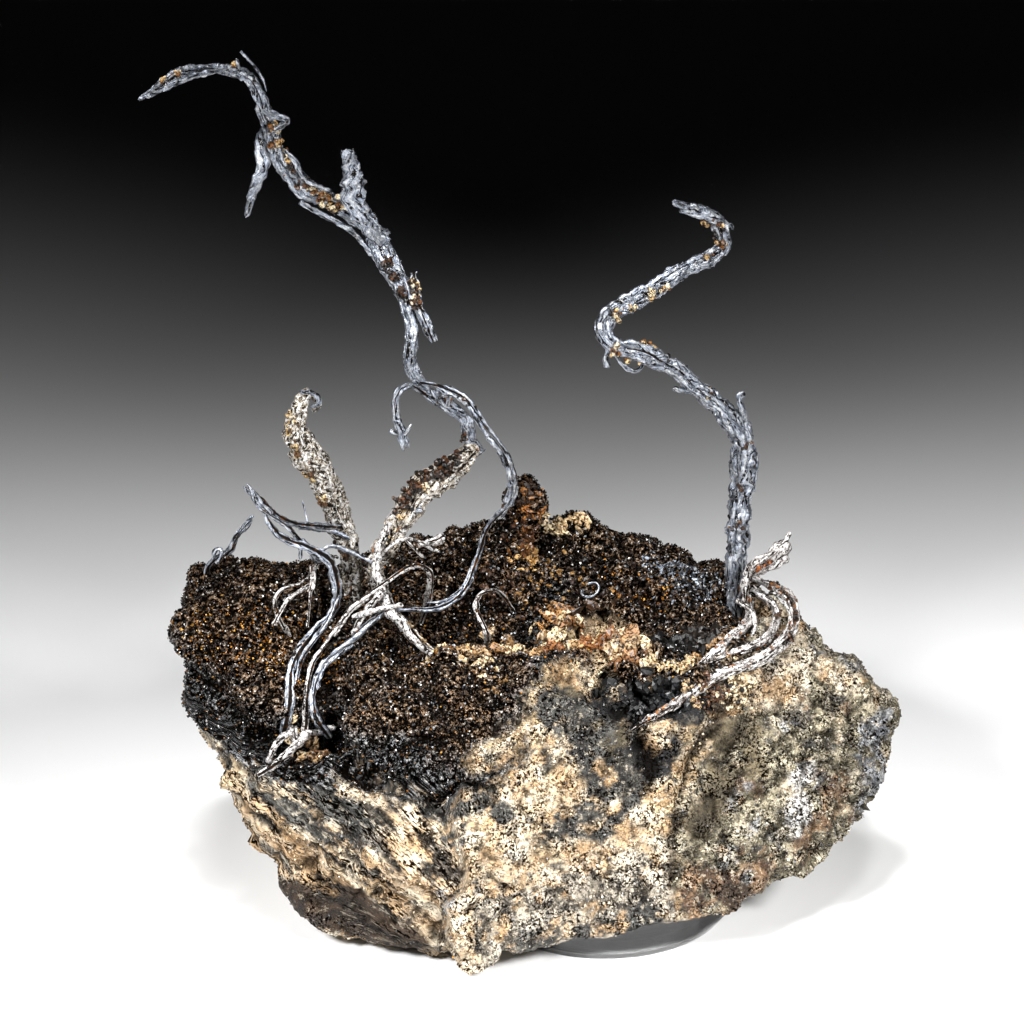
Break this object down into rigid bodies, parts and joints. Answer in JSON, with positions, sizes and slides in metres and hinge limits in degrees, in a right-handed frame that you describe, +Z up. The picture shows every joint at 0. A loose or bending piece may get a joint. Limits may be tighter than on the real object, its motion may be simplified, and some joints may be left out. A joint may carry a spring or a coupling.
{
  "type": "native silver specimen",
  "caption": "Native silver: bent tarnished wires and curls of silver growing out of a dark crusted rock matrix, standing on a small clear round display disc.",
  "frame": {"origin": "centre of the clear disc's flat underside, on the surface that the specimen stands on", "axes": "+Z up, -Y towards the front of the specimen, +X to the right seen from the front"},
  "size_m": [0.0816, 0.0515, 0.0989],
  "materials": {
    "rock": "broken matrix, dark druse crust on top, cream and tan granular stone below",
    "clear_disc": "clear cast acrylic, polished",
    "tarnished_silver": "native silver, striated, satin blue-grey tarnish",
    "pale_silver": "native silver, whitish satin, lightly tarnished",
    "fibrous_silver": "native silver, fibrous and pitted, with brown stain in the grooves",
    "crusted_silver": "native silver under a rough brown crust"
  },
  "bodies": {
    "root": {"matrix_rock": "rock", "display_disc": "clear_disc", "tall_wire_stem": "crusted_silver", "tall_wire_shaft": "tarnished_silver", "tall_wire_crest": "tarnished_silver", "upright_blade": "tarnished_silver", "hanging_spur": "tarnished_silver", "lower_spur": "tarnished_silver", "drop_curl": "tarnished_silver", "right_wire": "tarnished_silver", "thick_stub": "fibrous_silver", "right_curl": "pale_silver", "root_band_outer": "pale_silver", "root_band_inner": "pale_silver", "root_ribbon": "pale_silver", "loop_wire": "tarnished_silver", "left_loop_outer": "tarnished_silver", "left_loop_inner": "tarnished_silver", "left_long_wire": "tarnished_silver", "left_twin_wire": "tarnished_silver", "long_arc_wire": "pale_silver", "foot_piece": "pale_silver", "hook_wire_outer": "pale_silver", "hook_wire_inner": "pale_silver", "white_twig": "pale_silver", "side_wire": "tarnished_silver", "root_ribbon_right": "pale_silver", "root_ribbon_brown": "crusted_silver", "small_arch": "pale_silver"}
  },
  "joints": []
}
